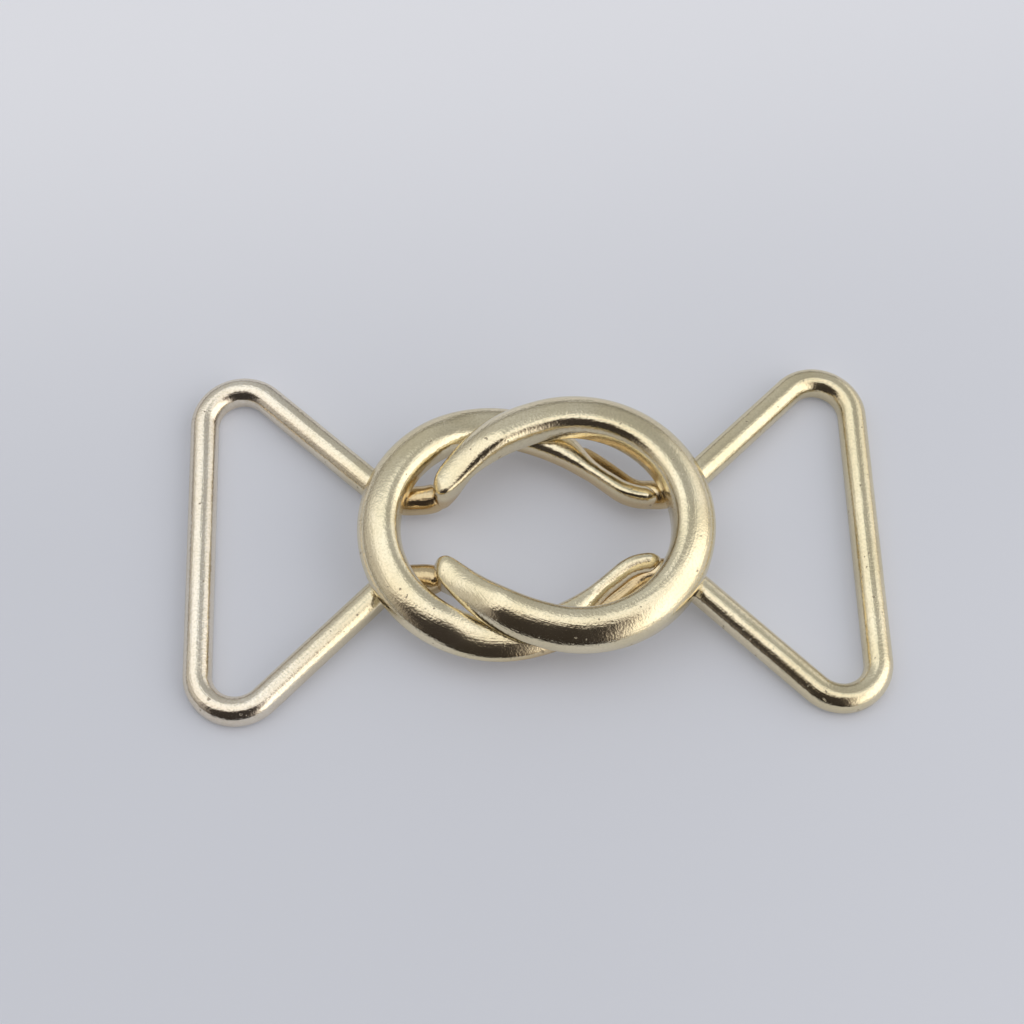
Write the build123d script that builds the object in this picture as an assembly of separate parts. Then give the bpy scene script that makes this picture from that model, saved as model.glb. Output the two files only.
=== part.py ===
from build123d import *
import math
import os

# Interlocking two-piece clasp: two cast halves, each a triangular strap loop and a domed ring.
# Origin: middle of the clasp, on the surface it lies on.  +X along the strap, +Z up.  Millimetres.

# --- overall sizes
OVERALL_LENGTH = 74.0        # outer edge of one strap bar to the outer edge of the other
STRAP_WIDTH = 30.0           # widest strap that lies flat on a strap bar

# --- strap loops and legs: a flat-backed, domed wire
WIRE_WIDTH = 3.0
WIRE_WALL = 0.9              # straight side of the wire
WIRE_DOME = 1.4              # rise of its rounded top
CORNER_RADIUS = 4.1          # centre line of the two outer corners
CORNER_INSET = 0.6           # centre of each corner inside the edge of the strap
ARM_BLEND_RADIUS = 5.0       # centre line, arm to waist
NECK_LENGTH = 3.1            # end of the waist bend to where the line of the arm meets the leg
WAIST_GAP = 5.8              # open width between the two legs at the waist
WAIST_RADIUS = 4.5           # centre line, waist to ring
FLARE_ANGLE = 39.0           # slope of the legs where they leave the waist, degrees
FLARE_LENGTH = 1.9           # straight run at that slope
LEDGE = 0.15                 # step from the ring's inner wall back to the wall of the leg under it

# --- rings: a wide domed section, between an inner and an outer edge
RING_CENTRE_OFFSET = 4.25    # ring centre beyond the middle of the clasp
RING_INNER_RADIUS = 10.0
FLANK_ANGLE = 14.0           # how far past the widest point the ring is round before its flanks, degrees
RING_WIDTH = 4.6
RING_WALL = 0.7
RING_DOME = 2.35
FOOT_RISE = 0.1              # underside of a ring above the underside of the leg it grows from
NOSE_LENGTH = 1.4            # rounded end of each strand
NOSE_SHARE = 0.35            # width left at the very tip of the nose

# --- how the halves lie on each other
LEFT_LEAN = 3.2              # slope of the left legs up from their strap bar, degrees
RIGHT_LEAN = 4.3             # slope of the right half up from its strap bar, degrees
LAY_GAP = 0.2                # air between the two castings where one lies on the other
LOW_MARGIN = 1.0             # the low strand starts to rise this far inside the crossing
THICKEN_LENGTH = 4.0         # and has its full height this far outside it

# --- left half: its ring is raised over the right one
LEFT_RING_WALL = 0.8         # straight side of the raised ring, at the middle of the clasp
LEFT_TIP_WIDTH = 2.2
LEFT_TIP_RISE = 1.9          # top of the tip's walls above the crown of the leg it stands on
LEFT_TIP_CLEARANCE = 2.365   # tip of the strand short of the inner edge of the other ring
LEFT_LEG_OVERLAP = 1.0       # how far the leg runs on inside the foot of the tip
LEFT_RAMP_LENGTH = 3.75      # underside climbs from the leg to the crossing over this length
LEFT_SHOULDER_LENGTH = 7.0   # top reaches its full height over this length from the tip
LEFT_TIP_DOME = 0.25         # rise of the dome at the tip, as a share of the ring's

# --- right half: its strand is low, with a narrow crest that ends before the other ring
RIGHT_STRAND_WIDTH = 2.1
RIGHT_STRAND_WALL = 1.6
RIGHT_STRAND_DOME = 1.3
RIGHT_TIP_WIDTH = 1.8
RIGHT_TIP_CLEARANCE = 0.22   # tip of the crest short of the inner edge of the other ring
RIGHT_TAPER_LENGTH = 1.5     # the crest narrows to its tip over this length
RIGHT_LEDGE_LENGTH = 8.0     # the leg runs on beside the crest this far from the end of the waist bend

# --- detail of the lofts
RING_STATIONS = 7            # sections from the far end of a ring to where its flank starts
FLANK_STATIONS = 6
TIP_STATIONS = 4

# --- worked out from the above
HALF_LENGTH = OVERALL_LENGTH / 2
BAR_X = HALF_LENGTH - WIRE_WIDTH / 2
FLARE = math.radians(FLARE_ANGLE)
FLANK = math.radians(FLANK_ANGLE)
LEFT_SLOPE = math.tan(math.radians(LEFT_LEAN))
RIGHT_SLOPE = math.tan(math.radians(RIGHT_LEAN))
WAIST_INNER_RADIUS = WAIST_RADIUS + WIRE_WIDTH / 2
WAIST_DROP = WAIST_INNER_RADIUS * (1 - math.cos(FLARE)) + FLARE_LENGTH * math.sin(FLARE)
FLANK_DROP = RING_INNER_RADIUS * math.cos(FLANK) - WAIST_DROP - WAIST_GAP / 2
FLANK_RADIUS = FLANK_DROP / (math.cos(FLANK) - math.cos(FLARE))
FLANK_CENTRE_X = RING_CENTRE_OFFSET + (FLANK_RADIUS - RING_INNER_RADIUS) * math.sin(FLANK)
FLANK_END_X = FLANK_CENTRE_X - FLANK_RADIUS * math.sin(FLARE)
WAIST_X = FLARE_LENGTH * math.cos(FLARE) + WAIST_INNER_RADIUS * math.sin(FLARE) - FLANK_END_X
LEFT_TIP_Y = WAIST_GAP / 2 + LEFT_TIP_WIDTH
LEFT_EDGE_X = RING_CENTRE_OFFSET + math.sqrt(RING_INNER_RADIUS ** 2 - LEFT_TIP_Y ** 2)
LEFT_TIP_X = LEFT_EDGE_X - LEFT_TIP_CLEARANCE
RIGHT_TIP_Y = (WAIST_GAP + RIGHT_TIP_WIDTH) / 2
RIGHT_EDGE_X = RING_CENTRE_OFFSET + math.sqrt(RING_INNER_RADIUS ** 2 - RIGHT_TIP_Y ** 2)
RIGHT_TIP_X = RIGHT_EDGE_X - RIGHT_TIP_CLEARANCE
CROSSING_REACH = LEFT_TIP_X - LEFT_RAMP_LENGTH


def smooth(value, start, end):
    """0 at start, 1 at end, an S-curve between and flat outside."""
    share = min(1.0, max(0.0, (value - start) / (end - start)))
    return share * share * (3 - 2 * share)


def mix(first, second, share):
    return first + (second - first) * share


def domed_face(plane, width, wall, dome):
    """Closed profile: flat bottom, two straight walls and half an ellipse on top."""
    half = width / 2
    corners = [(half, wall), (half, 0), (-half, 0), (-half, wall)]
    points = [plane.from_local_coords(Vector(x, y, 0)) for x, y in corners]
    sides = [Edge.make_line(a, b) for a, b in zip(points, points[1:])]
    crown = Plane(origin=plane.from_local_coords(Vector(0, wall, 0)), x_dir=plane.x_dir, z_dir=plane.z_dir)
    if half >= dome:
        top = Edge.make_ellipse(half, dome, plane=crown, start_angle=0, end_angle=180)
    else:
        turned = Plane(origin=crown.origin, x_dir=crown.y_dir, z_dir=crown.z_dir)
        top = Edge.make_ellipse(dome, half, plane=turned, start_angle=-90, end_angle=90)
    return Face(Wire(sides + [top]))


def section_plane(x, y, heading, height=0.0):
    """Upright plane across a path that runs along heading, local Y up."""
    across = Vector(-math.sin(heading), math.cos(heading), 0)
    return Plane(origin=Vector(x, y, height), x_dir=across, z_dir=across.cross(Vector(0, 0, 1)))


def edge_points(offset):
    """Corners of the strand's outline, offset outside the ring's inner edge: flank, flare, waist."""
    flank_reach = FLANK_RADIUS + offset
    ring_reach = RING_INNER_RADIUS + offset
    flank_start = (RING_CENTRE_OFFSET - ring_reach * math.sin(FLANK), ring_reach * math.cos(FLANK))
    flank_end = (flank_start[0] - flank_reach * (math.sin(FLARE) - math.sin(FLANK)),
                 flank_start[1] - flank_reach * (math.cos(FLANK) - math.cos(FLARE)))
    bend_start = (flank_end[0] - FLARE_LENGTH * math.cos(FLARE),
                  flank_end[1] - FLARE_LENGTH * math.sin(FLARE))
    bend_end = (-WAIST_X, WAIST_GAP / 2 + offset)
    return flank_start, flank_end, bend_start, bend_end


def leg_curves(run_on):
    """Centre line of the wire, triangle towards -X: middle of the bar, corner, arm, waist, flare.

    The wire ends run_on beyond the end of the waist bend.
    """
    corner = (CORNER_RADIUS - BAR_X, STRAP_WIDTH / 2 - CORNER_INSET)
    offset = WIRE_WIDTH / 2 + LEDGE
    _, flank_end, bend_start, bend_end = edge_points(offset)
    radius = WAIST_INNER_RADIUS - offset
    neck = (bend_end[0] - NECK_LENGTH, bend_end[1])
    reach = math.hypot(neck[0] - corner[0], corner[1] - neck[1])
    arm = math.atan2(corner[1] - neck[1], neck[0] - corner[0]) + math.asin(CORNER_RADIUS / reach)
    arm_start = (corner[0] + CORNER_RADIUS * math.sin(arm), corner[1] + CORNER_RADIUS * math.cos(arm))
    tangent = ARM_BLEND_RADIUS * math.tan(arm / 2)
    arm_end = (neck[0] - tangent * math.cos(arm), neck[1] + tangent * math.sin(arm))
    leg_start = (neck[0] + tangent, neck[1])
    curves = [
        Line((-BAR_X, 0), (-BAR_X, corner[1])),
        TangentArc((-BAR_X, corner[1]), arm_start, tangent=(0, 1)),
        Line(arm_start, arm_end),
        TangentArc(arm_end, leg_start, tangent=(math.cos(arm), -math.sin(arm))),
        Line(leg_start, bend_end),
    ]
    end_x = bend_end[0] + run_on
    if end_x < bend_start[0]:
        turn = math.asin(run_on / radius)
        stop = (end_x, bend_end[1] + radius * (1 - math.cos(turn)))
        curves.append(TangentArc(bend_end, stop, tangent=(1, 0)))
        return curves
    curves.append(TangentArc(bend_end, bend_start, tangent=(1, 0)))
    curves.append(Line(bend_start, flank_end))
    if end_x > flank_end[0]:
        flank_reach = FLANK_RADIUS + offset
        turn = math.asin(math.sin(FLARE) - (end_x - flank_end[0]) / flank_reach)
        stop = (end_x, flank_end[1] + flank_reach * (math.cos(turn) - math.cos(FLARE)))
        curves.append(TangentArc(flank_end, stop, tangent=(math.cos(FLARE), math.sin(FLARE))))
    return curves


def legs(slope, run_on):
    """Strap loop and both legs: the wire swept flat, then leant up about the foot of the bar."""
    profile = domed_face(section_plane(-BAR_X, 0, math.pi / 2), WIRE_WIDTH, WIRE_WALL, WIRE_DOME)
    strand = sweep(profile, path=Wire([curve.edge() for curve in leg_curves(run_on)]))
    loop = strand + mirror(strand, about=Plane.XZ)
    return loop.rotate(Axis((-HALF_LENGTH, 0, 0), (0, 1, 0)), -math.degrees(math.atan(slope)))


def strand_stations(tip_x):
    """Points (x, y, heading) on the ring's inner edge, from its far end round to the tip."""
    flank_start, _, _, bend_end = edge_points(0.0)
    stations = []
    for step in range(RING_STATIONS + 1):
        angle = (math.pi / 2 + FLANK) * step / RING_STATIONS
        x = RING_CENTRE_OFFSET + RING_INNER_RADIUS * math.cos(angle)
        stations.append((x, RING_INNER_RADIUS * math.sin(angle), angle + math.pi / 2))
    for step in range(1, FLANK_STATIONS + 1):
        angle = mix(FLANK, FLARE, step / FLANK_STATIONS)
        x = flank_start[0] - FLANK_RADIUS * (math.sin(angle) - math.sin(FLANK))
        y = flank_start[1] - FLANK_RADIUS * (math.cos(FLANK) - math.cos(angle))
        stations.append((x, y, math.pi + angle))
    last_angle = math.asin(max(0.0, (WAIST_X - tip_x) / WAIST_INNER_RADIUS))
    for step in range(TIP_STATIONS + 1):
        angle = mix(FLARE, last_angle, step / TIP_STATIONS)
        x = bend_end[0] + WAIST_INNER_RADIUS * math.sin(angle)
        y = bend_end[1] + WAIST_INNER_RADIUS * (1 - math.cos(angle))
        stations.append((x, y, math.pi + angle))
    if tip_x > WAIST_X:
        for step in range(1, TIP_STATIONS + 1):
            stations.append((-mix(WAIST_X, tip_x, step / TIP_STATIONS), bend_end[1], math.pi))
    return stations


def nose(distance):
    """Share of the full section left at a distance from the tip: a quarter ellipse."""
    back = 1 - min(1.0, distance / NOSE_LENGTH)
    return max(NOSE_SHARE, math.sqrt(1 - back * back))


def ring_body(tip_x, widths, heights):
    """Loft of domed sections right round the open ring, tip to tip.

    widths(x) gives the width of the section whose inner edge is at x;
    heights(x) gives its underside, the top of its walls and the rise of its dome.
    """
    upper = []
    for x, y, heading in strand_stations(tip_x):
        width = widths(x)
        mid_x = x + math.sin(heading) * width / 2
        mid_y = y - math.cos(heading) * width / 2
        bottom, wall_top, dome = heights(mid_x)
        left = nose(x + tip_x)
        plane = section_plane(mid_x, mid_y, heading, bottom)
        upper.append(domed_face(plane, width * left, wall_top - bottom, dome * left))
    lower = [mirror(face, about=Plane.XZ) for face in upper[1:]]
    return loft(upper[::-1] + lower)


def left_widths(x):
    share = min(1.0, max(0.0, 1 + x / LEFT_TIP_X))
    return mix(LEFT_TIP_WIDTH, RING_WIDTH, math.sin(share * math.pi / 2))


def right_base(x):
    """Underside of the right half at x in its own mirrored frame (its strap bar towards -X)."""
    return RIGHT_SLOPE * (HALF_LENGTH + x)


def left_heights(x):
    raised = right_base(-x) + WIRE_WALL + WIRE_DOME + LAY_GAP
    foot = LEFT_SLOPE * (HALF_LENGTH + x) + FOOT_RISE
    climb = smooth(x, -LEFT_TIP_X, -CROSSING_REACH)
    tip_top = LEFT_SLOPE * (HALF_LENGTH - LEFT_TIP_X) + WIRE_WALL + WIRE_DOME + LEFT_TIP_RISE
    ring_top = right_base(0.0) + WIRE_WALL + WIRE_DOME + LAY_GAP + LEFT_RING_WALL
    shoulder = smooth(x, -LEFT_TIP_X, LEFT_SHOULDER_LENGTH - LEFT_TIP_X)
    dome = RING_DOME * mix(LEFT_TIP_DOME, 1.0, shoulder)
    return mix(foot, raised, climb), mix(tip_top, ring_top, shoulder), dome


def right_widths(x):
    width = mix(RING_WIDTH, RIGHT_STRAND_WIDTH, smooth(-x, 0.0, CROSSING_REACH))
    return mix(width, RIGHT_TIP_WIDTH, smooth(-x, RIGHT_TIP_X - RIGHT_TAPER_LENGTH, RIGHT_TIP_X))


def right_heights(x):
    bottom = right_base(x) + FOOT_RISE * smooth(-x, CROSSING_REACH - LOW_MARGIN, CROSSING_REACH)
    far = smooth(x, CROSSING_REACH - LOW_MARGIN, CROSSING_REACH + THICKEN_LENGTH)
    near = smooth(-x, CROSSING_REACH - LOW_MARGIN, CROSSING_REACH + THICKEN_LENGTH)
    low_dome = WIRE_WALL + WIRE_DOME - RING_WALL
    wall = mix(RING_WALL, RIGHT_STRAND_WALL, near)
    dome = mix(mix(low_dome, RING_DOME, far), RIGHT_STRAND_DOME, near)
    return bottom, bottom + wall, dome


def left_half():
    """Left casting: strap loop towards -X, raised ring towards +X."""
    ring = ring_body(LEFT_TIP_X, left_widths, left_heights)
    return ring + legs(LEFT_SLOPE, WAIST_X - LEFT_TIP_X + LEFT_LEG_OVERLAP)


def right_half():
    """Right casting: made with its strap loop towards -X, then mirrored."""
    ring = ring_body(RIGHT_TIP_X, right_widths, right_heights)
    return mirror(ring + legs(RIGHT_SLOPE, RIGHT_LEDGE_LENGTH), about=Plane.YZ)


os.makedirs("parts", exist_ok=True)
export_step(left_half(), "parts/left_half.step")
export_step(right_half(), "parts/right_half.step")
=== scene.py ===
import math

import bmesh
import bpy
import numpy as np
from mathutils import Matrix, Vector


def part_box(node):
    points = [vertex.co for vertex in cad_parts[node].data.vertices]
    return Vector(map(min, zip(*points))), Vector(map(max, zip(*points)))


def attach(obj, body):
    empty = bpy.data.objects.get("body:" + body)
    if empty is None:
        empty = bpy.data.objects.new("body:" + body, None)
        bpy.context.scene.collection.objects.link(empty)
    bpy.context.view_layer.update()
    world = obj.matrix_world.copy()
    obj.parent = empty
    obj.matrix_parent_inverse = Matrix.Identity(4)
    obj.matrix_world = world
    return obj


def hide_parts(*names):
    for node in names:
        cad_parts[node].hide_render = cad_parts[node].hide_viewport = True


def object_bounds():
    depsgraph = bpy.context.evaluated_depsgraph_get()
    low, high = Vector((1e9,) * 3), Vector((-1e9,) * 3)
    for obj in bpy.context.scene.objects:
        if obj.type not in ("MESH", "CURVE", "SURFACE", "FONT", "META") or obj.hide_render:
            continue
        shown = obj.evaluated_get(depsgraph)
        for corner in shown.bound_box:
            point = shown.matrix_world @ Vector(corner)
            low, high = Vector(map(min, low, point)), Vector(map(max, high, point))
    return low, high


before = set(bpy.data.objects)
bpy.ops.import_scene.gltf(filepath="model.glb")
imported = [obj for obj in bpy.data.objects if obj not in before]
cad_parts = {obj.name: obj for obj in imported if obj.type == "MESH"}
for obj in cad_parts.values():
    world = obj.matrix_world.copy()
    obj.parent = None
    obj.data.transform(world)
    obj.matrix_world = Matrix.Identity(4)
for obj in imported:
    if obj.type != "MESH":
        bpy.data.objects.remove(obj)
cad_box = [list(corner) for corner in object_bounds()]

MM = 0.001

# ================================================================ sizes, in metres and radians

# strap loops and legs: one domed wire
WIRE_WIDTH = 3.0 * MM
WIRE_WALL = 0.9 * MM
WIRE_DOME = 1.4 * MM
STRAP_WIDTH = 30.0 * MM
CORNER_RADIUS = 4.1 * MM
CORNER_INSET = 0.6 * MM
ARM_BLEND_RADIUS = 5.0 * MM
NECK_LENGTH = 3.1 * MM
WAIST_GAP = 5.8 * MM
WAIST_RADIUS = 4.5 * MM
FLARE = math.radians(39.0)
FLARE_LENGTH = 1.9 * MM
LEDGE = 0.15 * MM

# rings
RING_OFFSET = 4.25 * MM
RING_INNER = 10.0 * MM
FLANK = math.radians(14.0)
RING_WIDTH = 4.6 * MM
RING_WALL = 0.7 * MM
RING_DOME = 2.35 * MM
RING_CREST_INWARD = 0.30
FOOT_RISE = 0.1 * MM
NOSE_LENGTH = 1.5 * MM
NOSE_WALL = 0.8                 # share of the wall's height left at the tip
NOSE_END = 0.004                # square of the share of the section left at the very tip

# how the halves lie on each other
LEFT_LEAN = math.radians(3.2)
RIGHT_LEAN = math.radians(4.3)
LAY_GAP = 0.2 * MM
LOW_MARGIN = 1.0 * MM
THICKEN_LENGTH = 4.0 * MM

# left half
LEFT_RING_WALL = 0.8 * MM
LEFT_TIP_WIDTH = 2.2 * MM
LEFT_TIP_RISE = 1.9 * MM
LEFT_TIP_CLEARANCE = 2.365 * MM
LEFT_LEG_OVERLAP = 1.0 * MM
LEFT_RAMP_LENGTH = 3.75 * MM
LEFT_SHOULDER_LENGTH = 7.0 * MM
LEFT_TIP_DOME = 0.25

# right half
RIGHT_STRAND_WIDTH = 2.1 * MM
RIGHT_STRAND_WALL = 1.6 * MM
RIGHT_STRAND_DOME = 1.3 * MM
RIGHT_TIP_WIDTH = 1.8 * MM
RIGHT_LEDGE_DOME = 0.25
RIGHT_TIP_CLEARANCE = 0.22 * MM
RIGHT_TAPER_LENGTH = 1.5 * MM
RIGHT_LEDGE_LENGTH = 8.0 * MM
LEDGE_FALL_BEFORE = 2.5 * MM    # the leg's dome starts to fall this far before the waist bend ends
LEDGE_FALL_AFTER = 1.5 * MM     # and is down this far after it

# surface detail
STATION_STEP = 0.22 * MM
WIRE_FOOT_ROUND = 0.35 * MM
RING_FOOT_ROUND = 0.65 * MM
ROUND_WIDTH_LIMIT = 0.4         # the foot round's largest share of the width
ROUND_WALL_LIMIT = 0.85         # and of the wall
CROWN_POINTS = 41
ROUND_POINTS = 7
SHARP_ANGLE = math.radians(60)

left_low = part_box("left_half")[0]
right_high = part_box("right_half")[1]
LEFT_FOOT = -left_low.x - WIRE_WALL * math.sin(LEFT_LEAN)
RIGHT_FOOT = right_high.x - WIRE_WALL * math.sin(RIGHT_LEAN)

# worked out: the flank of the ring, the waist and the crossing
WAIST_INNER = WAIST_RADIUS + WIRE_WIDTH / 2
WAIST_DROP = WAIST_INNER * (1 - math.cos(FLARE)) + FLARE_LENGTH * math.sin(FLARE)
FLANK_DROP = RING_INNER * math.cos(FLANK) - WAIST_DROP - WAIST_GAP / 2
FLANK_RADIUS = FLANK_DROP / (math.cos(FLANK) - math.cos(FLARE))
FLANK_CENTRE_X = RING_OFFSET + (FLANK_RADIUS - RING_INNER) * math.sin(FLANK)
FLANK_END_X = FLANK_CENTRE_X - FLANK_RADIUS * math.sin(FLARE)
WAIST_X = FLARE_LENGTH * math.cos(FLARE) + WAIST_INNER * math.sin(FLARE) - FLANK_END_X
LEFT_TIP_Y = WAIST_GAP / 2 + LEFT_TIP_WIDTH
LEFT_TIP_X = RING_OFFSET + math.sqrt(RING_INNER ** 2 - LEFT_TIP_Y ** 2) - LEFT_TIP_CLEARANCE
RIGHT_TIP_Y = (WAIST_GAP + RIGHT_TIP_WIDTH) / 2
RIGHT_TIP_X = RING_OFFSET + math.sqrt(RING_INNER ** 2 - RIGHT_TIP_Y ** 2) - RIGHT_TIP_CLEARANCE
CROSSING_REACH = LEFT_TIP_X - LEFT_RAMP_LENGTH


def smooth(value, start, end):
    """0 at start, 1 at end, an S-curve between and flat outside."""
    share = np.clip((value - start) / (end - start), 0.0, 1.0)
    return share * share * (3 - 2 * share)


def mix(first, second, share):
    return first + (second - first) * share


# ================================================================ paths

def trace(start, heading, pieces):
    """Points and headings along straight runs and arcs laid end to end.

    Each piece is (length, turn).  The heading grows evenly over a piece by its turn, and x and y are
    the running sums of cos and sin of the heading over short equal chords.
    """
    chords = []
    middles = []
    for length, turn in pieces:
        count = max(2, int(round(length / STATION_STEP)))
        bend = turn / count
        chord = length / count * (math.sin(bend / 2) / (bend / 2) if turn else 1.0)
        chords.append(np.full(count, chord))
        middles.append(heading + bend * (np.arange(count) + 0.5))
        heading += turn
    chord = np.concatenate(chords)
    middle = np.concatenate(middles)
    x = start[0] + np.concatenate([[0.0], np.cumsum(chord * np.cos(middle))])
    y = start[1] + np.concatenate([[0.0], np.cumsum(chord * np.sin(middle))])
    ends = np.concatenate([middle[:1], (middle[1:] + middle[:-1]) / 2, [heading]])
    return x, y, ends


def both_sides(x, y, heading):
    """The path's mirror image in Y run backwards, then the path: one strand from tip to tip."""
    back = slice(None, 0, -1)
    return (
        np.concatenate([x[back], x]),
        np.concatenate([-y[back], y]),
        np.concatenate([math.pi - heading[back], heading]),
    )


def wire_path(foot, run_on):
    """Centre line of the wire from the middle of the strap bar to its end in the ring, upper side.

    Bar, corner arc, arm, blend arc, leg, waist arc, flare line and flank arc, each tangent to the
    last.  The arm is the outer tangent from the corner circle to the neck point.
    """
    bar_x = foot - WIRE_WIDTH / 2
    offset = WIRE_WIDTH / 2 + LEDGE
    corner = (CORNER_RADIUS - bar_x, STRAP_WIDTH / 2 - CORNER_INSET)
    neck = (-WAIST_X - NECK_LENGTH, WAIST_GAP / 2 + offset)
    reach = math.hypot(neck[0] - corner[0], corner[1] - neck[1])
    slope = math.atan2(corner[1] - neck[1], neck[0] - corner[0]) + math.asin(CORNER_RADIUS / reach)
    tangent = ARM_BLEND_RADIUS * math.tan(slope / 2)
    bend = WAIST_INNER - offset
    pieces = [
        (corner[1], 0.0),
        (CORNER_RADIUS * (math.pi / 2 + slope), -math.pi / 2 - slope),
        (math.sqrt(reach ** 2 - CORNER_RADIUS ** 2) - tangent, 0.0),
        (ARM_BLEND_RADIUS * slope, slope),
        (NECK_LENGTH - tangent, 0.0),
    ]
    if run_on < bend * math.sin(FLARE):
        turn = math.asin(run_on / bend)
        pieces.append((bend * turn, turn))
    else:
        left_over = run_on - bend * math.sin(FLARE) - FLARE_LENGTH * math.cos(FLARE)
        turn = FLARE - math.asin(math.sin(FLARE) - left_over / (FLANK_RADIUS + offset))
        pieces += [(bend * FLARE, FLARE), (FLARE_LENGTH, 0.0), ((FLANK_RADIUS + offset) * turn, -turn)]
    return both_sides(*trace((-bar_x, 0.0), math.pi / 2, pieces))


def ring_path(tip_x):
    """Inner edge of the ring, from its far end round to its tip, upper side.

    Ring arc, flank arc, flare line, waist arc and, where the tip lies beyond it, a stretch of leg.
    """
    pieces = [
        (RING_INNER * (math.pi / 2 + FLANK), math.pi / 2 + FLANK),
        (FLANK_RADIUS * (FLARE - FLANK), FLARE - FLANK),
        (FLARE_LENGTH, 0.0),
    ]
    turn = FLARE - math.asin(max(0.0, (WAIST_X - tip_x) / WAIST_INNER))
    pieces.append((WAIST_INNER * turn, -turn))
    if tip_x > WAIST_X:
        pieces.append((tip_x - WAIST_X, 0.0))
    return both_sides(*trace((RING_OFFSET + RING_INNER, 0.0), math.pi / 2, pieces))


# ================================================================ surfaces

def domed_profile():
    """Closed outline of the cast section as weights of half width, foot round, wall and dome.

    across = half * a + foot * b and up = wall * c + dome * d + foot * e.  It runs from the middle of
    the flat back round one foot, a quarter circle, up the wall, over half an ellipse and down the
    other side.
    """
    turn = np.linspace(-math.pi / 2, 0.0, ROUND_POINTS)
    crown = np.linspace(0.0, math.pi, CROWN_POINTS)
    inset = np.cos(turn) - 1
    lift = 1 + np.sin(turn)
    ones = np.ones(ROUND_POINTS)
    none = np.zeros(ROUND_POINTS)
    flat = np.zeros(CROWN_POINTS)
    a = np.concatenate([[0.0], ones, np.cos(crown), -ones])
    b = np.concatenate([[0.0], inset, flat, -inset[::-1]])
    c = np.concatenate([[0.0], none, np.ones(CROWN_POINTS), none])
    d = np.concatenate([[0.0], none, np.sin(crown), none])
    e = np.concatenate([[0.0], lift, flat, lift[::-1]])
    return a, b, c, d, e


PROFILE = domed_profile()


def carry(x, y, heading, side, centre, width, bottom, wall, dome, foot, inward=0.0):
    """The domed section carried along a path, upright, as an array of stations by outline points.

    side is +1 where outwards is left of the heading and -1 where it is right; centre is how far the
    middle of the section stands outwards of the path.  inward moves the crest towards the path by
    that share of the half width, fading to nothing at the shoulders.  The foot round is held under
    its shares of the width and the wall.
    """
    a, b, c, d, e = PROFILE
    out_x = -np.sin(heading) * side
    out_y = np.cos(heading) * side
    limit = np.minimum(width * ROUND_WIDTH_LIMIT, wall * ROUND_WALL_LIMIT)
    round_foot = np.minimum(foot, limit)[:, None]
    across = centre[:, None] + width[:, None] / 2 * (a - inward * d * d) + round_foot * b
    up = bottom[:, None] + wall[:, None] * c + dome[:, None] * d + round_foot * e
    place_x = x[:, None] + out_x[:, None] * across
    place_y = y[:, None] + out_y[:, None] * across
    return np.stack([place_x, place_y, up], axis=2)


def run_from_ends(x, y):
    """Length along a path from each point to the nearer of its two ends."""
    step = np.hypot(np.diff(x), np.diff(y))
    run = np.concatenate([[0.0], np.cumsum(step)])
    return np.minimum(run, run[-1] - run)


def nose(run, length):
    """Share of the full section left at a distance from the tip: a quarter ellipse, closed at the tip."""
    back = 1 - np.clip(run / length, 0.0, 1.0)
    return np.sqrt(np.clip(1 - back * back, NOSE_END, 1.0))


def wire_surface(foot, lean, run_on, ledge_dome):
    """Strap loop and legs of one half, bar towards -X, leant up about the foot of the bar.

    Beside the crest the dome falls on an S-curve to ledge_dome of its rise.
    """
    x, y, heading = wire_path(foot, run_on)
    from_end = run_from_ends(x, y)
    left = nose(from_end, WIRE_WIDTH / 2)
    full = smooth(from_end, run_on - LEDGE_FALL_AFTER, run_on + LEDGE_FALL_BEFORE)
    dome = WIRE_DOME * left * mix(ledge_dome, 1.0, full)
    flat = np.zeros_like(x)
    wall = np.full_like(x, WIRE_WALL)
    points = carry(x, y, heading, 1, flat, WIRE_WIDTH * left, flat, wall, dome, WIRE_FOOT_ROUND)
    run = points[..., 0] + foot
    rise = points[..., 2].copy()
    points[..., 0] = run * math.cos(lean) - rise * math.sin(lean) - foot
    points[..., 2] = run * math.sin(lean) + rise * math.cos(lean)
    return points


def right_base(x):
    """Underside of the right half, in its own mirrored frame with its bar towards -X."""
    return math.tan(RIGHT_LEAN) * (RIGHT_FOOT + x)


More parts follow.
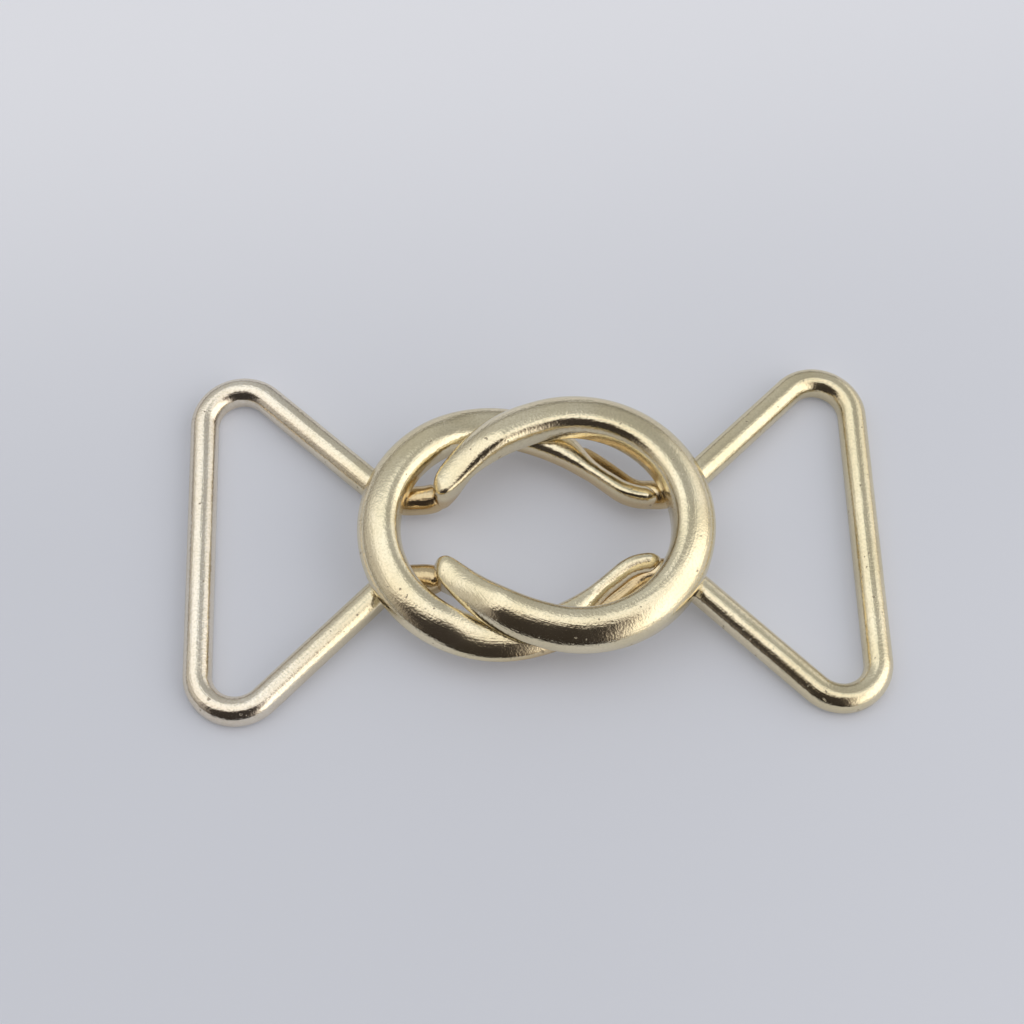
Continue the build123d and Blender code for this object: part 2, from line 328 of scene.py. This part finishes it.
def left_ring_surface():
    """The raised ring of the left half.

    Its width grows from the tip as a quarter sine.  Its underside stands on the leg at the tip and
    climbs on an S-curve to lie over the right half at the crossing.
    """
    x, y, heading = ring_path(LEFT_TIP_X)
    share = np.clip(1 + x / LEFT_TIP_X, 0.0, 1.0)
    width = mix(LEFT_TIP_WIDTH, RING_WIDTH, np.sin(share * math.pi / 2))
    mid = x + np.sin(heading) * width / 2
    raised = right_base(-mid) + WIRE_WALL + WIRE_DOME + LAY_GAP
    foot = math.tan(LEFT_LEAN) * (LEFT_FOOT + mid) + FOOT_RISE
    climb = smooth(mid, -LEFT_TIP_X, -CROSSING_REACH)
    bottom = mix(foot, raised, climb)
    leg_crown = WIRE_WALL + WIRE_DOME
    tip_top = math.tan(LEFT_LEAN) * (LEFT_FOOT - LEFT_TIP_X) + leg_crown + LEFT_TIP_RISE
    ring_top = right_base(0.0) + leg_crown + LAY_GAP + LEFT_RING_WALL
    shoulder = smooth(mid, -LEFT_TIP_X, LEFT_SHOULDER_LENGTH - LEFT_TIP_X)
    wall = mix(tip_top, ring_top, shoulder) - bottom
    dome = RING_DOME * mix(LEFT_TIP_DOME, 1.0, shoulder)
    left = nose(run_from_ends(x, y), NOSE_LENGTH)
    wall = wall * mix(NOSE_WALL, 1.0, left)
    return carry(x, y, heading, -1, width / 2, width * left, bottom, wall, dome * left,
                 RING_FOOT_ROUND, RING_CREST_INWARD)


def right_ring_surface():
    """The low ring of the right half, bar towards -X: full section far out, a narrow crest near in."""
    x, y, heading = ring_path(RIGHT_TIP_X)
    width = mix(RING_WIDTH, RIGHT_STRAND_WIDTH, smooth(-x, 0.0, CROSSING_REACH))
    width = mix(width, RIGHT_TIP_WIDTH, smooth(-x, RIGHT_TIP_X - RIGHT_TAPER_LENGTH, RIGHT_TIP_X))
    mid = x + np.sin(heading) * width / 2
    low = CROSSING_REACH - LOW_MARGIN
    high = CROSSING_REACH + THICKEN_LENGTH
    bottom = right_base(mid) + FOOT_RISE * smooth(-mid, low, CROSSING_REACH)
    near = smooth(-mid, low, high)
    wall = mix(RING_WALL, RIGHT_STRAND_WALL, near)
    far = smooth(mid, low, high)
    low_dome = WIRE_WALL + WIRE_DOME - RING_WALL
    dome = mix(mix(low_dome, RING_DOME, far), RIGHT_STRAND_DOME, near)
    left = nose(run_from_ends(x, y), NOSE_LENGTH)
    wall = wall * mix(NOSE_WALL, 1.0, left)
    return carry(x, y, heading, -1, width / 2, width * left, bottom, wall, dome * left,
                 RING_FOOT_ROUND, RING_CREST_INWARD)


def strip_coordinates(points):
    """Length along the strand and length round the section at every point, for marks that follow it."""
    along = np.linalg.norm(np.diff(points.mean(axis=1), axis=0), axis=1)
    around = np.linalg.norm(np.diff(points, axis=1), axis=2)
    run = np.concatenate([[0.0], np.cumsum(along)])[:, None] * np.ones(points.shape[1])
    girth = np.concatenate([np.zeros((len(points), 1)), np.cumsum(around, axis=1)], axis=1)
    return np.stack([run, girth, run * 0], axis=2)


def casting(name, surfaces, flip_x):
    """One mesh of closed tubes: quads between stations, a flat cap on each end."""
    corners = []
    strips = []
    quads = []
    caps = []
    first = 0
    for points in surfaces:
        rows, loop = points.shape[:2]
        if flip_x:
            points = points * np.array([-1.0, 1.0, 1.0])
        corners.append(points.reshape(-1, 3))
        strips.append(strip_coordinates(points).reshape(-1, 3))
        row = np.arange(rows - 1)[:, None] * loop
        here = np.arange(loop)[None, :]
        after = (here + 1) % loop
        quad = np.stack([row + here, row + after, row + loop + after, row + loop + here], axis=2) + first
        quads.append(quad.reshape(-1, 4))
        caps.append((first + np.arange(loop)).tolist())
        caps.append((first + (rows - 1) * loop + np.arange(loop)).tolist())
        first += rows * loop
    mesh = bpy.data.meshes.new(name)
    mesh.from_pydata(np.concatenate(corners).tolist(), [], np.concatenate(quads).tolist() + caps)
    mesh.update()
    marks = mesh.attributes.new("strip", "FLOAT_VECTOR", "POINT")
    marks.data.foreach_set("vector", np.concatenate(strips).ravel())
    piece = bpy.data.objects.new(name, mesh)
    bpy.context.scene.collection.objects.link(piece)
    outwards(mesh)
    mesh.shade_smooth()
    mesh.set_sharp_from_angle(angle=SHARP_ANGLE)
    return piece


def outwards(mesh):
    """Turns every face of the closed shells to point outwards."""
    work = bmesh.new()
    work.from_mesh(mesh)
    bmesh.ops.recalc_face_normals(work, faces=work.faces)
    work.to_mesh(mesh)
    work.free()


# ================================================================ shader kit

class Term:
    """A socket in a node tree that can be used in Python arithmetic."""

    def __init__(self, graph, socket):
        self.graph = graph
        self.socket = socket

    def _maths(self, operation, *values):
        return self.graph.node("ShaderNodeMath", {"operation": operation}, dict(enumerate(values)))

    def __add__(self, other):
        return self._maths("ADD", self, other)

    def __radd__(self, other):
        return self._maths("ADD", other, self)

    def __sub__(self, other):
        return self._maths("SUBTRACT", self, other)

    def __rsub__(self, other):
        return self._maths("SUBTRACT", other, self)

    def __mul__(self, other):
        return self._maths("MULTIPLY", self, other)

    def __rmul__(self, other):
        return self._maths("MULTIPLY", other, self)

    def fade(self, start, end):
        """0 at start, 1 at end, smooth between."""
        return self.graph.node("ShaderNodeMapRange", {"interpolation_type": "SMOOTHSTEP"},
                               {"Value": self, "From Min": start, "From Max": end})


class Graph:
    """Builds one node tree."""

    def __init__(self, tree):
        self.tree = tree
        tree.nodes.clear()

    def node(self, kind, settings=None, values=None, out=0):
        made = self.tree.nodes.new(kind)
        for key, value in (settings or {}).items():
            setattr(made, key, value)
        for key, value in (values or {}).items():
            socket = made.inputs[key]
            if isinstance(value, Term):
                self.tree.links.new(value.socket, socket)
            else:
                socket.default_value = value
        return Term(self, made.outputs[out]) if len(made.outputs) else made

    def noise(self, place, scale, detail):
        return self.node("ShaderNodeTexNoise", values={"Vector": place, "Scale": scale, "Detail": detail})

    def mix_colour(self, share, first, second):
        return self.node("ShaderNodeMix", {"data_type": "RGBA"}, {0: share, 6: first, 7: second}, out=2)

    def split(self, vector):
        first = self.node("ShaderNodeSeparateXYZ", values={0: vector})
        return [Term(self, socket) for socket in first.socket.node.outputs]


# ================================================================ finishes

def plated_finish():
    """Pale gold plating: polished along the wire, with fine grain, a little cloudiness and pits, and with
    painted light: a painted brown shade low in the hollow near the middle and a painted pink reflection
    over the left half.
    """
    material = bpy.data.materials.new("pale_gold_plating")
    material.use_nodes = True
    graph = Graph(material.node_tree)
    place = graph.node("ShaderNodeTexCoord", out=3)
    strip = graph.node("ShaderNodeAttribute", {"attribute_name": "strip"}, out=1)
    grain = graph.noise(place, 4200.0, 2.0)
    peel = graph.noise(place, 1300.0, 2.0)
    cloud = graph.noise(place, 140.0, 3.0)
    blotch = graph.noise(place, 420.0, 3.0)
    stretch = (0.035, 1.0, 0.0)
    line_place = graph.node("ShaderNodeVectorMath", {"operation": "MULTIPLY"}, {0: strip, 1: stretch})
    lines = graph.noise(line_place, 5200.0, 2.0)
    pits = graph.noise(place, 2300.0, 0.0).fade(0.82, 0.86)
    x, y, z = graph.split(place)
    # Painted reflection: pale grows towards the left half and turns the gold pale pink there. This stands
    # in for what that half reflects.
    pale = x.fade(-0.013, -0.032)
    gold = graph.mix_colour(cloud.fade(0.35, 0.65), (0.80, 0.70, 0.47, 1), (0.87, 0.775, 0.56, 1))
    pink_reflection_colour = graph.mix_colour(cloud.fade(0.40, 0.60), (0.84, 0.755, 0.64, 1), (0.86, 0.79, 0.69, 1))
    gold_with_painted_reflection = graph.mix_colour(pale * 0.85, gold, pink_reflection_colour)
    mottled = graph.mix_colour(grain.fade(0.38, 0.70) * 0.32, gold_with_painted_reflection, (0.64, 0.55, 0.37, 1))
    # Painted shade: low in the hollow near the middle, where the halves cross, the colour turns brown.
    # This stands in for shade and for light bounced between the two castings.
    middle = (x * x + y * y).fade(0.00026, 0.00019)
    painted_recess_shade = middle * z.fade(0.0047, 0.0034)
    with_painted_recess_shade = graph.mix_colour(painted_recess_shade * 0.65, mottled, (0.56, 0.38, 0.17, 1))
    pitted_with_painted_shade = graph.mix_colour(pits * 0.7, with_painted_recess_shade, (0.30, 0.24, 0.17, 1))
    rough = 0.10 + blotch * 0.10 + pits * 0.25
    height = grain * 0.42 + peel * 0.30 + lines * 0.28 - pits * 0.8
    bump = graph.node("ShaderNodeBump", values={"Strength": 0.9, "Distance": 0.00006, "Height": height})
    shader = graph.node("ShaderNodeBsdfPrincipled", values={
        "Base Color": pitted_with_painted_shade, "Roughness": rough, "Metallic": 1.0, "Normal": bump,
    })
    graph.node("ShaderNodeOutputMaterial", values={"Surface": shader})
    return material


def paper_finish():
    """Matt, cool pale sheet under the clasp, with painted light: its colour is a little brighter towards
    the window corner and towards the near right, and it glows faintly by emission.
    """
    material = bpy.data.materials.new("pale_sheet")
    material.use_nodes = True
    graph = Graph(material.node_tree)
    place = graph.node("ShaderNodeTexCoord", out=3)
    fibre = graph.noise(place, 60.0, 4.0)
    x, y, _ = graph.split(place)
    # Painted light: far and side lighten the sheet's colour towards the window corner and towards the
    # near right. This stands in for how the room light falls on it.
    far = (y * 0.95 - x * 0.10).fade(0.0, 0.075)
    side = (x * 0.9 - y * 0.3).fade(0.0, 0.08)
    painted_light_gradient = graph.mix_colour(far, (0.60, 0.62, 0.685, 1), (0.76, 0.775, 0.835, 1))
    colour = graph.mix_colour(side * 0.4 + fibre * 0.04, painted_light_gradient, (0.72, 0.74, 0.81, 1))
    # Painted light: the sheet emits its own colour at a small strength, so it glows faintly though it is
    # no lamp.
    shader = graph.node("ShaderNodeBsdfPrincipled", values={
        "Base Color": colour, "Roughness": 0.95, "Emission Color": colour, "Emission Strength": 0.17,
    })
    graph.node("ShaderNodeOutputMaterial", values={"Surface": shader})
    return material


def room_light():
    """Soft studio surround worked out from the direction: a bright patch overhead, a bright east side,
    duller north and west, and a shaded stretch to the south."""
    world = bpy.data.worlds.new("soft_room")
    bpy.context.scene.world = world
    world.use_nodes = True
    graph = Graph(world.node_tree)
    way = graph.node("ShaderNodeTexCoord")
    x, y, z = graph.split(way)
    ripple = graph.noise(way, 2.6, 2.0)
    west_patch = x.fade(0.08, -0.12) * y.fade(0.68, 0.44)
    middle_patch = y.fade(0.36, 0.16)
    overhead = (1.0 - (1.0 - west_patch) * (1.0 - middle_patch)) * x.fade(-0.88, -0.60)
    east = x.fade(0.44, 0.68)
    level = 0.37 + x.fade(0.30, -0.30) * 0.10 + ripple * 0.20 + overhead * 0.66 + east * 0.55
    side_x = x + 0.20
    shade = (0.0 - y).fade(0.17, 0.36) * (side_x * side_x).fade(0.56, 0.20)
    shaded = level * (1.0 - shade * 0.965)
    low = z.fade(0.32, 0.03)
    dimmed = shaded * (1.0 - low * 0.55)
    cool = (z * 0.7 + y * 0.7).fade(0.3, 1.0)
    plain = graph.mix_colour(cool, (1.0, 0.965, 0.92, 1), (0.95, 0.98, 1.0, 1))
    colour = graph.mix_colour(shade, plain, (1.0, 0.86, 0.82, 1))
    background = graph.node("ShaderNodeBackground", values={"Color": colour, "Strength": dimmed})
    graph.node("ShaderNodeOutputWorld", values={"Surface": background})


# ================================================================ camera and floor

FLOOR_REACH = 0.6
FLOOR_GAP = 0.02 * MM


def add_floor():
    """A square sheet just under the clasp."""
    mesh = bpy.data.meshes.new("sheet")
    signs = ((-1, -1), (1, -1), (1, 1), (-1, 1))
    corners = [(x * FLOOR_REACH, y * FLOOR_REACH, 0) for x, y in signs]
    mesh.from_pydata(corners, [], [(0, 1, 2, 3)])
    floor = bpy.data.objects.new("sheet", mesh)
    floor.location.z = cad_box[0][2] - FLOOR_GAP
    bpy.context.scene.collection.objects.link(floor)
    floor.data.materials.append(paper_finish())


VIEW_DISTANCE = 232.4 * MM
VIEW_TILT = math.radians(24.57)
VIEW_ROLL = math.radians(3.57)
VIEW_SWING = math.radians(5.04)
VIEW_SHIFT = (2.63 * MM, -3.76 * MM)
VIEW_SENSOR = 36.0
VIEW_LENS = 75.551


def add_camera():
    """Looks down on the clasp from the front, leaning back by the tilt and rolled a little."""
    data = bpy.data.cameras.new("camera")
    data.sensor_width = VIEW_SENSOR
    data.lens = VIEW_LENS
    data.clip_start = 0.01
    camera = bpy.data.objects.new("camera", data)
    bpy.context.scene.collection.objects.link(camera)
    stand = (Matrix.Rotation(-VIEW_SWING, 4, "Z")
             @ Matrix.Translation((-VIEW_SHIFT[0], -VIEW_SHIFT[1], 0))
             @ Matrix.Rotation(VIEW_TILT, 4, "X")
             @ Matrix.Rotation(VIEW_ROLL, 4, "Z")
             @ Matrix.Translation((0, 0, VIEW_DISTANCE)))
    camera.matrix_world = stand
    bpy.context.scene.camera = camera


add_camera()
add_floor()
room_light()
bpy.context.scene.view_settings.view_transform = "Standard"

finish = plated_finish()
left_run_on = WAIST_X - LEFT_TIP_X + LEFT_LEG_OVERLAP
left_legs = wire_surface(LEFT_FOOT, LEFT_LEAN, left_run_on, 1.0)
right_legs = wire_surface(RIGHT_FOOT, RIGHT_LEAN, RIGHT_LEDGE_LENGTH, RIGHT_LEDGE_DOME)
left = casting("left_casting", [left_legs, left_ring_surface()], False)
right = casting("right_casting", [right_legs, right_ring_surface()], True)
for piece, node, body in ((left, "left_half", "left"), (right, "right_half", "right")):
    piece.data.materials.append(finish)
    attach(piece, body)
    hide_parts(node)
